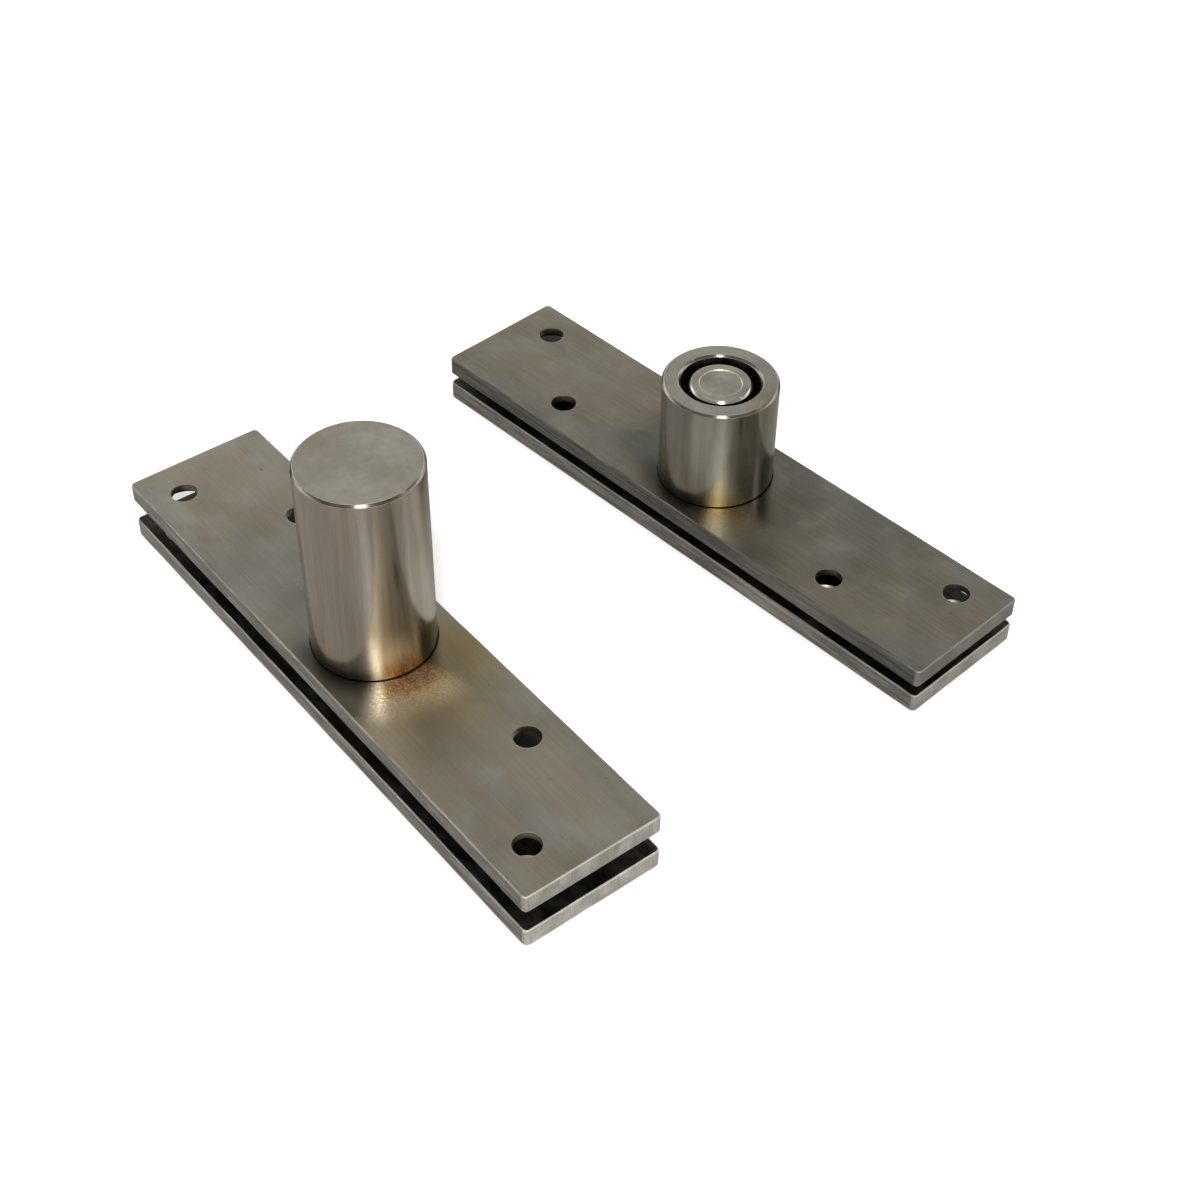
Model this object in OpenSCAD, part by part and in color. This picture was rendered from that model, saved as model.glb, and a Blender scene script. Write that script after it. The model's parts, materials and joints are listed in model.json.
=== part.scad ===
// Pivot hinge set for a swing door: a bottom unit and a top unit.
// In each unit a pin stands on a fixed base plate, and a leaf plate with a barrel turns on it.
// Millimetres. The origin is on the bottom pivot axis, at the underside of its base plate.

/* [Plates] */
// Length of every plate
plate_len = 135; // [130:1:180]
// Width of every plate
plate_w = 30; // [30:0.5:40]
// Thickness of every plate
plate_t = 4; // [3.5:0.5:6]
// Corner radius of every plate, seen from above
corner_r = 1; // [0.5:0.5:5]

/* [Screw holes] */
// Distance between the two outer holes of a plate
outer_spacing = 116.5; // [100:0.5:118]
// Distance between the two inner holes of a plate
inner_spacing = 76.5; // [50:0.5:90]
// Distance of both hole rows from the plate's centre line
row_offset = 7.5; // [5:0.25:9]
// Diameter of a screw hole
hole_d = 5.3; // [4:0.1:6]
// Diameter of a countersink, on the side of the gap
countersink_d = 10.4; // [9:0.1:11]

/* [Barrels] */
// Outer diameter of both barrels
barrel_d = 24; // [23.5:0.5:28]
// Height of the bottom unit's barrel above its leaf plate
bottom_barrel_h = 42.7; // [38:0.1:60]
// Height of the top unit's barrel above its leaf plate
top_barrel_h = 23.7; // [20:0.1:40]
// Thickness of the closed end of the bottom unit's barrel
barrel_end_t = 5; // [3:0.5:8]
// Diameter of the mouth round the pin's end in the top unit's barrel
mouth_d = 16.3; // [15:0.1:18]
// Diameter of the barrel's spigot in its leaf plate
spigot_d = 22; // [21.5:0.5:23]
// Depth of the seat for the barrel's foot in its leaf plate
seat_depth = 0.5; // [0.3:0.1:0.6]
// Chamfer at the rims of barrels and pins
rim_chamfer = 0.5; // [0.2:0.1:0.8]

/* [Pins] */
// Diameter of both pins
pin_d = 13; // [12:0.1:13]
// Diameter of a pin's foot in its base plate
pin_foot_d = 10; // [8:0.5:11]
// Diameter of the riveted end of a pin's foot
rivet_d = 13; // [11.5:0.5:14]
// Depth of the top pin's end below the barrel's rim
pin_drop = 0.7; // [0.3:0.1:2]
// Diameter of the shallow recess in the top pin's end
end_recess_d = 8.8; // [4:0.2:10]
// Depth of the shallow recess in the top pin's end
end_recess_depth = 0.3; // [0.1:0.1:1]

/* [Thrust bearing and spacer] */
// Gap between the bottom unit's plates, which the thrust bearing fills
bottom_gap = 5.2; // [5:0.1:6]
// Gap between the top unit's plates, which the spacer fills
top_gap = 2.6; // [2:0.1:4]
// Outer diameter of the bearing washers and of the spacer
washer_d = 22; // [20.5:0.5:22]
// Thickness of each bearing washer
washer_t = 1.2; // [1:0.1:1.4]
// Diameter of a thrust ball
ball_d = 3.1; // [2.6:0.1:3.1]
// Number of thrust balls
ball_count = 12; // [8:1:13]

/* [Needle bearings] */
// Outer diameter of a needle bearing's cup
cup_d = 19; // [18.5:0.1:19]
// Length of a needle bearing's cup
cup_len = 12; // [10:0.5:14]
// Number of needles in one bearing
needle_count = 14; // [10:1:16]

/* [Placing of the top unit] */
// Place of the top unit's pivot axis along X
top_x = 0; // [-20:0.5:20]
// Place of the top unit's pivot axis along Y
top_y = 85; // [84.5:0.5:140]
// Turn of the top unit about its pivot axis
top_turn = 5.6; // [0:0.1:6]

/* [Hidden] */
$fn = 96;
// Overrun of a cutter past the face that it opens
over = 1;
// Clearances: turning parts, a ball or needle and its race, the spacer and its leaf plate
turn_gap = 0.2;
race_gap = 0.05;
spacer_gap = 0.05;

// Heights of the bottom unit
bottom_leaf_z = plate_t + bottom_gap;
bottom_barrel_z = bottom_leaf_z + plate_t;
bottom_top_z = bottom_barrel_z + bottom_barrel_h;
bottom_bore_end_z = bottom_top_z - barrel_end_t;
bottom_pin_top_z = bottom_bore_end_z - 1;
// Heights of the top unit
top_leaf_z = plate_t + top_gap;
top_barrel_z = top_leaf_z + plate_t;
top_top_z = top_barrel_z + top_barrel_h;
top_pin_top_z = top_top_z - pin_drop;
// Feet of the three needle cups
lower_cup_z = bottom_leaf_z + 2;
upper_cup_z = bottom_bore_end_z - cup_len - 1;
top_cup_z = top_leaf_z + 7;

// Depth of a 90 degree countersink and of the riveted end
countersink_depth = (countersink_d - hole_d) / 2;
rivet_depth = (rivet_d - pin_foot_d) / 2;
// Leg of the weld's three-cornered section
weld_leg = 1.5;
// The chamfer at a barrel's foot ends just above the leaf plate
foot_chamfer = seat_depth + 0.1;

// Thrust bearing: the balls' pitch radius, their height, the groove and the cage
ball_pitch_r = (pin_d + washer_d) / 4;
ball_z = plate_t + bottom_gap / 2;
groove_r = bottom_gap / 2 - washer_t + 0.25;
cage_t = 1.4;
cage_rim = 0.35;

// Needle bearing: cup wall and lip, needle and cage
cup_wall = 1;
cup_lip_t = 0.9;
cup_lip_r = pin_d / 2 + 0.8;
race_r = cup_d / 2 - cup_wall;
needle_pitch_r = (race_r + pin_d / 2) / 2;
needle_d = race_r - pin_d / 2 - 2 * race_gap;
needle_cage_len = cup_len - 2 * cup_lip_t - 2 * race_gap;
needle_end_rim = 0.4;
needle_pocket_len = needle_cage_len - 2 * needle_end_rim;
needle_len = needle_pocket_len - 4 * race_gap;
needle_cage_wall = 1.1;

steel = [0.62, 0.60, 0.56];
bright_steel = [0.78, 0.78, 0.77];
dark_steel = [0.42, 0.41, 0.40];
brass = [0.72, 0.56, 0.28];
bronze = [0.62, 0.44, 0.26];
weld_brown = [0.45, 0.36, 0.26];

// The top unit stands beside the bottom one, with its hole rows turned end for end
module in_top_unit() {
    translate([top_x, top_y, 0]) rotate([0, 0, top_turn + 180]) children();
}

module plate_outline() {
    square([plate_len - 2 * corner_r, plate_w], center = true);
    square([plate_len, plate_w - 2 * corner_r], center = true);
    for (side_x = [-1, 1], side_y = [-1, 1])
        translate([side_x * (plate_len / 2 - corner_r), side_y * (plate_w / 2 - corner_r)])
            circle(r = corner_r);
}

// Puts its child at the four screw holes: the outer pair in front, the inner pair behind
module at_screw_holes() {
    for (side = [-1, 1]) {
        translate([side * outer_spacing / 2, -row_offset, 0]) children();
        translate([side * inner_spacing / 2, row_offset, 0]) children();
    }
}

// A screw hole through the thickness, wide at its upper end
module countersunk_hole() {
    translate([0, 0, -over]) cylinder(d = hole_d, h = plate_t + 2 * over);
    translate([0, 0, plate_t - countersink_depth])
        cylinder(d1 = hole_d, d2 = countersink_d, h = countersink_depth);
    translate([0, 0, plate_t]) cylinder(d = countersink_d, h = over);
}

// A base plate: countersinks above, and below the seat of the pin's riveted foot
module base_plate() {
    difference() {
        linear_extrude(plate_t) plate_outline();
        at_screw_holes() countersunk_hole();
        translate([0, 0, -over]) cylinder(d = pin_foot_d, h = plate_t + 2 * over);
        cylinder(d1 = rivet_d, d2 = pin_foot_d, h = rivet_depth);
        translate([0, 0, -over]) cylinder(d = rivet_d, h = over);
    }
}

// A leaf plate: countersinks below, and the stepped hole for the barrel with its weld groove
module leaf_plate() {
    difference() {
        linear_extrude(plate_t) plate_outline();
        at_screw_holes() translate([0, 0, plate_t]) mirror([0, 0, 1]) countersunk_hole();
        translate([0, 0, -over]) cylinder(d = spigot_d, h = plate_t + 2 * over);
        translate([0, 0, plate_t - seat_depth]) cylinder(d = barrel_d, h = seat_depth + over);
        cylinder(d1 = spigot_d + 2 * weld_leg, d2 = spigot_d, h = weld_leg);
        translate([0, 0, -over]) cylinder(d = spigot_d + 2 * weld_leg, h = over);
    }
}

// The weld that fills the groove, level with the leaf plate's underside
module barrel_weld() {
    rotate_extrude()
        polygon([
            [spigot_d / 2, 0],
            [spigot_d / 2 + weld_leg, 0],
            [spigot_d / 2, weld_leg]
        ]);
}

// A pin riveted into its base plate, plain or with a shallow recess in its end
module pin(top_z, recess_depth) {
    foot_r = pin_foot_d / 2;
    recess_r = end_recess_d / 2;
    rotate_extrude()
        polygon([
            [0, 0],
            [rivet_d / 2, 0],
            [foot_r, rivet_depth],
            [foot_r, plate_t],
            [pin_d / 2, plate_t],
            [pin_d / 2, top_z - rim_chamfer],
            [pin_d / 2 - rim_chamfer, top_z],
            [recess_r, top_z],
            [recess_r, top_z - recess_depth],
            [0, top_z - recess_depth]
        ]);
}

// A needle bearing's cup, with both lips turned in, standing on z = 0
module needle_cup() {
    rotate_extrude()
        polygon([
            [cup_lip_r, 0],
            [cup_d / 2, 0],
            [cup_d / 2, cup_len],
            [cup_lip_r, cup_len],
            [cup_lip_r, cup_len - cup_lip_t],
            [race_r, cup_len - cup_lip_t],
            [race_r, cup_lip_t],
            [cup_lip_r, cup_lip_t]
        ]);
}

// Puts its child at every needle's foot, for rods of the given length
module at_needles(rod_len) {
    for (i = [0 : needle_count - 1])
        rotate([0, 0, i * 360 / needle_count])
            translate([needle_pitch_r, 0, (cup_len - rod_len) / 2])
                children();
}

module needle_cage() {
    difference() {
        translate([0, 0, (cup_len - needle_cage_len) / 2])
            cylinder(r = needle_pitch_r + needle_cage_wall / 2, h = needle_cage_len);
        translate([0, 0, -over])
            cylinder(r = needle_pitch_r - needle_cage_wall / 2, h = cup_len + 2 * over);
        at_needles(needle_pocket_len)
            cylinder(d = needle_d + 2 * race_gap, h = needle_pocket_len, $fn = 32);
    }
}

module needles() {
    at_needles(needle_len) cylinder(d = needle_d, h = needle_len, $fn = 32);
}

// A ring that lies on z = 0
module washer(inner_d, outer_d, height) {
    difference() {
        cylinder(d = outer_d, h = height);
        translate([0, 0, -over]) cylinder(d = inner_d, h = height + 2 * over);
    }
}

module ball_groove() {
    translate([0, 0, ball_z]) rotate_extrude()
        translate([ball_pitch_r, 0]) circle(r = groove_r, $fn = 48);
}

module at_thrust_balls() {
    for (i = [0 : ball_count - 1])
        rotate([0, 0, i * 360 / ball_count]) translate([ball_pitch_r, 0, ball_z]) children();
}

module bottom_base_plate() {
    color(steel) base_plate();
}

module bottom_pin() {
    color(bright_steel) pin(bottom_pin_top_z, end_recess_depth);
}

module thrust_lower_washer() {
    color(bright_steel) difference() {
        translate([0, 0, plate_t]) washer(pin_d, washer_d, washer_t);
        ball_groove();
    }
}

module thrust_ball_cage() {
    cage_inner_d = 2 * (ball_pitch_r - ball_d / 2 - cage_rim);
    cage_outer_d = 2 * (ball_pitch_r + ball_d / 2 + cage_rim);
    color(brass) difference() {
        translate([0, 0, ball_z - cage_t / 2]) washer(cage_inner_d, cage_outer_d, cage_t);
        at_thrust_balls() cylinder(d = ball_d + 2 * race_gap, h = 2 * cage_t, center = true, $fn = 48);
    }
}

module thrust_balls() {
    color(bright_steel) at_thrust_balls() sphere(d = ball_d, $fn = 32);
}

module thrust_upper_washer() {
    color(bright_steel) difference() {
        translate([0, 0, bottom_leaf_z - washer_t]) washer(pin_d + 2 * turn_gap, washer_d, washer_t);
        ball_groove();
    }
}

module bottom_leaf_plate() {
    color(steel) translate([0, 0, bottom_leaf_z]) leaf_plate();
}

// The bottom barrel is closed at its upper end
module bottom_barrel() {
    barrel_r = barrel_d / 2;
    bore_r = cup_d / 2;
    color(steel) rotate_extrude()
        polygon([
            [bore_r, bottom_leaf_z],
            [spigot_d / 2, bottom_leaf_z],
            [spigot_d / 2, bottom_barrel_z - seat_depth],
            [barrel_r - foot_chamfer, bottom_barrel_z - seat_depth],
            [barrel_r, bottom_barrel_z - seat_depth + foot_chamfer],
            [barrel_r, bottom_top_z - rim_chamfer],
            [barrel_r - rim_chamfer, bottom_top_z],
            [0, bottom_top_z],
            [0, bottom_bore_end_z],
            [bore_r, bottom_bore_end_z]
        ]);
}

module bottom_barrel_weld() {
    color(weld_brown) translate([0, 0, bottom_leaf_z]) barrel_weld();
}

module lower_needle_cup() {
    color(bright_steel) translate([0, 0, lower_cup_z]) needle_cup();
}

module lower_needle_cage() {
    color(dark_steel) translate([0, 0, lower_cup_z]) needle_cage();
}

module lower_needles() {
    color(bright_steel) translate([0, 0, lower_cup_z]) needles();
}

module upper_needle_cup() {
    color(bright_steel) translate([0, 0, upper_cup_z]) needle_cup();
}

module upper_needle_cage() {
    color(dark_steel) translate([0, 0, upper_cup_z]) needle_cage();
}

module upper_needles() {
    color(bright_steel) translate([0, 0, upper_cup_z]) needles();
}

module top_base_plate() {
    color(steel) in_top_unit() base_plate();
}

module top_pin() {
    color(bright_steel) in_top_unit() pin(top_pin_top_z, end_recess_depth);
}

module top_spacer_washer() {
    color(bronze) in_top_unit()
        translate([0, 0, plate_t]) washer(pin_d, washer_d, top_gap - spacer_gap);
}

module top_leaf_plate() {
    color(steel) in_top_unit() translate([0, 0, top_leaf_z]) leaf_plate();
}

// The top barrel is open: its narrow mouth shows the pin's end
module top_barrel() {
    barrel_r = barrel_d / 2;
    bore_r = cup_d / 2;
    mouth_r = mouth_d / 2;
    color(steel) in_top_unit() rotate_extrude()
        polygon([
            [bore_r, top_leaf_z],
            [spigot_d / 2, top_leaf_z],
            [spigot_d / 2, top_barrel_z - seat_depth],
            [barrel_r - foot_chamfer, top_barrel_z - seat_depth],
            [barrel_r, top_barrel_z - seat_depth + foot_chamfer],
            [barrel_r, top_top_z - rim_chamfer],
            [barrel_r - rim_chamfer, top_top_z],
            [mouth_r + rim_chamfer, top_top_z],
            [mouth_r, top_top_z - rim_chamfer],
            [mouth_r, top_cup_z + cup_len],
            [bore_r, top_cup_z + cup_len]
        ]);
}

module top_barrel_weld() {
    color(weld_brown) in_top_unit() translate([0, 0, top_leaf_z]) barrel_weld();
}

module top_needle_cup() {
    color(bright_steel) in_top_unit() translate([0, 0, top_cup_z]) needle_cup();
}

module top_needle_cage() {
    color(dark_steel) in_top_unit() translate([0, 0, top_cup_z]) needle_cage();
}

module top_needles() {
    color(bright_steel) in_top_unit() translate([0, 0, top_cup_z]) needles();
}

bottom_base_plate();
bottom_pin();
thrust_lower_washer();
thrust_ball_cage();
thrust_balls();
thrust_upper_washer();
bottom_leaf_plate();
bottom_barrel();
bottom_barrel_weld();
lower_needle_cup();
lower_needle_cage();
lower_needles();
upper_needle_cup();
upper_needle_cage();
upper_needles();
top_base_plate();
top_pin();
top_spacer_washer();
top_leaf_plate();
top_barrel();
top_barrel_weld();
top_needle_cup();
top_needle_cage();
top_needles();
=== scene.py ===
"""Looks of the pivot hinge set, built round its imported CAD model. Metres, in the CAD frame."""

import json
import math
import random

import bmesh
import bpy
from mathutils import Matrix, Vector


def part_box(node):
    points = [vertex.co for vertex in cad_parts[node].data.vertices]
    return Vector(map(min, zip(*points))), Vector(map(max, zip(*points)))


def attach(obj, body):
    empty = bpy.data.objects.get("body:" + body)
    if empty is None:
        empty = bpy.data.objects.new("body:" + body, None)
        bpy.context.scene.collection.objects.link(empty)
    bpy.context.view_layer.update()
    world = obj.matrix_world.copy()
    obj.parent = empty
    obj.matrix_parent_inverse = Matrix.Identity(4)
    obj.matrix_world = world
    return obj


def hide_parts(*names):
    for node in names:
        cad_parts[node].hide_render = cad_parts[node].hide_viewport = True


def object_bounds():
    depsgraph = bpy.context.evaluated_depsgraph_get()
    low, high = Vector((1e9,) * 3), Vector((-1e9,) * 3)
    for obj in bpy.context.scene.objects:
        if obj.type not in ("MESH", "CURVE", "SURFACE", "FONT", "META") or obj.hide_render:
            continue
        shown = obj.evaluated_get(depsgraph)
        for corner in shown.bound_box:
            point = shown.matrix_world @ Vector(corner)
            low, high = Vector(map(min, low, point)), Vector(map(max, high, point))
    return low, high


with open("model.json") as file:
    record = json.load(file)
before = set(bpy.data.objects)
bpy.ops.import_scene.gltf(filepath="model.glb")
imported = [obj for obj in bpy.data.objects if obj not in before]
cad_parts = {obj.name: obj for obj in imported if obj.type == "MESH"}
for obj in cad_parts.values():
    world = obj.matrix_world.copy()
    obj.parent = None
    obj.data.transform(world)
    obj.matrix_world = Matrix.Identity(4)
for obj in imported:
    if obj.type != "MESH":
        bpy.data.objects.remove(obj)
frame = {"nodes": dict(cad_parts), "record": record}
bpy.context.view_layer.update()
cad_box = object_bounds()

MM = 0.001

# ---------------------------------------------------------------- sizes, from the frame

record = frame["record"]
mounts = {m["name"]: m for m in record["mounts"]}
body_of = {n: b for b, nodes in record["behaviour"]["bodies"].items() for n in nodes}


def low(node):
    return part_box(node)[0]


def high(node):
    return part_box(node)[1]


def extent(node):
    return high(node) - low(node)


plate_len, plate_w, plate_t = extent("bottom_leaf_plate")
corner_r = 1 * MM
barrel_r = extent("bottom_barrel").x / 2
pin_r = extent("bottom_pin").x / 2
washer_r = extent("thrust_lower_washer").x / 2
cup_r = extent("lower_needle_cup").x / 2
weld_r = extent("bottom_barrel_weld").x / 2
weld_leg = extent("bottom_barrel_weld").z
spigot_r = weld_r - weld_leg
hole_r = mounts["bottom_door_outer_screws"]["dims"]["hole_r_mm"] * MM
countersink_r = 5.2 * MM
seat_depth = 0.5 * MM
foot_chamfer = 0.6 * MM
rim_chamfer = 0.5 * MM
mouth_r = 8.15 * MM
pin_foot_r = 5 * MM
end_recess_r = 4.4 * MM
end_recess_depth = 0.3 * MM
barrel_end_t = 5 * MM
cup_wall = 1 * MM
cup_lip_t = 0.9 * MM
cup_lip_r = pin_r + 0.8 * MM

screw_holes = [
    (side * mount["dims"]["pcd_mm"] / 2 * MM, mount["pos_m"][1])
    for mount in (mounts["bottom_door_outer_screws"], mounts["bottom_door_inner_screws"])
    for side in (-1, 1)
]


def top_turn():
    """Turn of the top unit about its axis, from the box of its turned plate, in radians."""
    box = extent("top_leaf_plate")
    a, b = plate_len - 2 * corner_r, plate_w - 2 * corner_r
    ex, ey = box.x - 2 * corner_r, box.y - 2 * corner_r
    return math.atan2(a * ey - b * ex, a * ex - b * ey)


top_axis = (low("top_barrel") + high("top_barrel")) / 2
place = {
    "bottom": Matrix.Identity(4),
    "top": Matrix.Translation((top_axis.x, top_axis.y, 0))
    @ Matrix.Rotation(top_turn() + math.pi, 4, "Z"),
}

# ---------------------------------------------------------------- materials


def add_node(tree, kind, inputs=(), **settings):
    """A new shader node. inputs gives a value, or a socket to link from, for each of its inputs."""
    node = tree.nodes.new(kind)
    for key, value in settings.items():
        setattr(node, key, value)
    for key, value in dict(inputs).items():
        if isinstance(value, bpy.types.NodeSocket):
            tree.links.new(value, node.inputs[key])
        else:
            node.inputs[key].default_value = value
    return node


def colour_ramp(tree, value, stops, interpolation="LINEAR"):
    """A colour that runs through stops, a list of (place, colour)."""
    node = add_node(tree, "ShaderNodeValToRGB", {"Fac": value})
    node.color_ramp.interpolation = interpolation
    elements = node.color_ramp.elements
    while len(elements) < len(stops):
        elements.new(0.5)
    for element, (position, colour) in zip(elements, stops):
        element.position = position
        element.color = (*colour, 1)
    return node.outputs["Color"]


class Shader:
    """One procedural material, with short calls for the nodes that it uses."""

    def __init__(self, name, roughness=0.3, metallic=1.0, anisotropic=0.0, turned=False):
        self.material = bpy.data.materials.new(name)
        self.material.use_nodes = True
        self.tree = self.material.node_tree
        self.bsdf = self.tree.nodes["Principled BSDF"]
        self.bsdf.inputs["Metallic"].default_value = metallic
        self.bsdf.inputs["Roughness"].default_value = roughness
        self.bsdf.inputs["Anisotropic"].default_value = anisotropic
        if turned:
            # highlights of a turned part spread across its turning marks
            tangent = self.add("ShaderNodeTangent", direction_type="RADIAL", axis="Z")
            self.link(tangent.outputs["Tangent"], self.bsdf.inputs["Tangent"])
            self.bsdf.inputs["Anisotropic Rotation"].default_value = 0.25
        self.place = self.add("ShaderNodeTexCoord").outputs["Object"]

    def link(self, source, target):
        self.tree.links.new(source, target)

    def add(self, kind, inputs=(), **settings):
        return add_node(self.tree, kind, inputs, **settings)

    def scaled(self, scale):
        """The place on the piece, stretched by a factor for each axis."""
        node = self.add("ShaderNodeVectorMath", {0: self.place, 1: scale}, operation="MULTIPLY")
        return node.outputs["Vector"]

    def noise(self, vector, scale, detail=3.0, roughness=0.5, distortion=0.0):
        inputs = {
            "Vector": vector,
            "Scale": scale,
            "Detail": detail,
            "Roughness": roughness,
            "Distortion": distortion,
        }
        return self.add("ShaderNodeTexNoise", inputs).outputs["Fac"]

    def calc(self, operation, a, b=0.0, clamp=False):
        node = self.add("ShaderNodeMath", {0: a, 1: b}, operation=operation, use_clamp=clamp)
        return node.outputs["Value"]

    def remap(self, value, start, end, to_start=0.0, to_end=1.0):
        inputs = {
            "Value": value,
            "From Min": start,
            "From Max": end,
            "To Min": to_start,
            "To Max": to_end,
        }
        node = self.add("ShaderNodeMapRange", inputs, interpolation_type="SMOOTHSTEP")
        return node.outputs["Result"]

    def ramp(self, value, stops):
        return colour_ramp(self.tree, value, stops)

    def mix(self, factor, a, b, blend="MIX"):
        node = self.add("ShaderNodeMix", data_type="RGBA", blend_type=blend)
        for socket, value in zip((node.inputs[0], node.inputs[6], node.inputs[7]), (factor, a, b)):
            if isinstance(value, bpy.types.NodeSocket):
                self.link(value, socket)
            else:
                socket.default_value = value if isinstance(value, float) else (*value, 1)
        return node.outputs[2]

    def radius(self):
        """Distance from the unit's pivot axis."""
        flat = self.scaled((1, 1, 0))
        return self.add("ShaderNodeVectorMath", {0: flat}, operation="LENGTH").outputs["Value"]

    def facing(self, azimuth):
        """1 on the side of the axis at this azimuth in degrees, -1 on the far side."""
        way = (math.cos(math.radians(azimuth)), math.sin(math.radians(azimuth)), 0)
        flat = self.scaled((1, 1, 0))
        unit = self.add("ShaderNodeVectorMath", {0: flat}, operation="NORMALIZE")
        dot = {0: unit.outputs["Vector"], 1: way}
        return self.add("ShaderNodeVectorMath", dot, operation="DOT_PRODUCT").outputs["Value"]

    def height(self):
        return self.add("ShaderNodeSeparateXYZ", {0: self.place}).outputs["Z"]

    def finish(self, colour=None, roughness=None, bump=(), roughness_range=(0.2, 0.4), matt=None):
        """Links the colour, the roughness and the bumps, a list of (height, distance in metres).

        matt is added to the roughness."""
        if colour is not None:
            self.link(colour, self.bsdf.inputs["Base Color"])
        if roughness is not None:
            rough = self.remap(roughness, 0.3, 0.7, *roughness_range)
            if matt is not None:
                rough = self.calc("ADD", rough, matt)
            self.link(rough, self.bsdf.inputs["Roughness"])
        normal = None
        for height, distance in bump:
            inputs = {"Height": height, "Distance": distance, "Strength": 1.0}
            if normal is not None:
                inputs["Normal"] = normal
            normal = self.add("ShaderNodeBump", inputs).outputs["Normal"]
        if normal is not None:
            self.link(normal, self.bsdf.inputs["Normal"])
        return self.material


TEMPER_COLOURS = [
    (0.0, (1.0, 1.0, 1.0)),
    (0.25, (1.0, 0.92, 0.7)),
    (0.5, (1.0, 0.74, 0.4)),
    (0.75, (0.8, 0.45, 0.22)),
    (1.0, (0.4, 0.27, 0.22)),
]
STAIN_BROWN = (0.36, 0.32, 0.26)
BARE_STEEL = (0.62, 0.6, 0.55)
SPECK_DARK = (0.16, 0.14, 0.12)
PIT_BROWN = (0.2, 0.18, 0.16)
# Near black for soot and for painted contact shade round the barrels' feet
SOOT_AND_CONTACT_SHADE = (0.06, 0.053, 0.047)
# Pale weld spatter, partly a painted highlight on the plate beside the burn
SPATTER_AND_HIGHLIGHT_PALE = (0.9, 0.84, 0.74)
SCALE_YELLOW = (0.95, 0.8, 0.52)
WARM_HAZE = (0.86, 0.72, 0.6)
BROWN_HAZE = (0.92, 0.82, 0.69)

# Azimuths in each unit's own frame, in degrees: the middles of the burnt patch, of the wide
# straw tint round it, and of the soot with its painted contact shade
BURN_SIDE = {"bottom": -7.0, "top": 139.0}
STRAW_SIDE = {"bottom": 24.0, "top": 160.0}
SOOT_AND_SHADE_SIDE = {"bottom": -78.0, "top": 74.0}

# How far from the barrel's wall each mark round its foot starts to fade, and where it ends
straw_fade = (barrel_r + 2 * MM, barrel_r + 28 * MM)
burn_fade = (barrel_r + 2 * MM, barrel_r + 7.5 * MM)
scale_fade = (barrel_r + 5 * MM, barrel_r + 14 * MM)
# Pale spatter, partly a painted highlight
spatter_and_highlight_fade = (barrel_r + 6 * MM, barrel_r + 12 * MM)
# Soot with its painted contact shade
soot_and_shade_fade = (barrel_r + 0.5 * MM, barrel_r + 6 * MM)
# Painted shadow line in the crevice where the barrel meets the plate
crevice_shade_fade = (barrel_r + 0.15 * MM, barrel_r + 0.4 * MM)
scuffing = (barrel_r + 7 * MM, barrel_r + 14 * MM)


def temper(s, colour, heat):
    """Straw to brown heat tint over a colour. heat runs from 0 to 1."""
    return s.mix(1.0, colour, s.ramp(heat, TEMPER_COLOURS), blend="MULTIPLY")


def toned(colour, tone):
    return tuple(tone * c for c in colour)


def heat_patch(s, azimuth, spread, start, end):
    """1 on the axis side of start at this azimuth, fading to 0 at end and past the spread."""
    near = s.remap(s.radius(), end, start)
    side = s.remap(s.facing(azimuth), math.cos(math.radians(spread)), 1.0)
    return s.calc("MULTIPLY", near, side)


def heat_marks(s, unit, heat, colour, matt):
    """Straw, orange, pale scale, and pale spatter that is partly a painted highlight, round a
    barrel's foot, as the new colour and matt.
    """
    fine = s.noise(s.place, 700.0, detail=5.0, roughness=0.7, distortion=0.5)
    straw = heat_patch(s, STRAW_SIDE[unit], 58, *straw_fade)
    burn = heat_patch(s, BURN_SIDE[unit] + 2, 30, *burn_fade)
    burn = s.calc("MULTIPLY", burn, s.remap(fine, 0.3, 0.6, 0.5, 1.0))
    scale = heat_patch(s, BURN_SIDE[unit] + 4, 26, *scale_fade)
    scale = s.calc("MULTIPLY", scale, heat)
    colour = s.mix(s.calc("MULTIPLY", scale, 0.55), colour, SCALE_YELLOW)
    heats = s.calc("ADD", s.calc("MULTIPLY", straw, 0.36), s.calc("MULTIPLY", burn, 0.75))
    colour = temper(s, colour, s.calc("MULTIPLY", heats, heat, clamp=True))
    dust = s.noise(s.place, 2600.0, detail=2.0, roughness=0.5)
    # pale spatter beside the burn, partly a painted highlight
    spatter_and_highlight = heat_patch(s, BURN_SIDE[unit] - 2, 36, *spatter_and_highlight_fade)
    spatter_and_highlight = s.calc("MULTIPLY", spatter_and_highlight, s.remap(dust, 0.4, 0.7, 0.05, 0.5 * heat))
    colour = s.mix(spatter_and_highlight, colour, SPATTER_AND_HIGHLIGHT_PALE)
    return colour, s.calc("ADD", matt, s.calc("MULTIPLY", scale, 0.25))


def foot_soot_and_shade(s, unit, colour):
    """Soot with painted contact shade on one side of a barrel's foot, and a painted shadow line in
    the crevice all round it.
    """
    # soot with painted contact shade on one side of the foot
    soot_and_shade = heat_patch(s, SOOT_AND_SHADE_SIDE[unit], 62, *soot_and_shade_fade)
    # a painted shadow line in the crevice all round the foot
    crevice_shade = s.remap(s.radius(), crevice_shade_fade[1], crevice_shade_fade[0])
    return s.mix(s.calc("MAXIMUM", s.calc("MULTIPLY", soot_and_shade, 0.85), crevice_shade), colour, SOOT_AND_CONTACT_SHADE)


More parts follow.
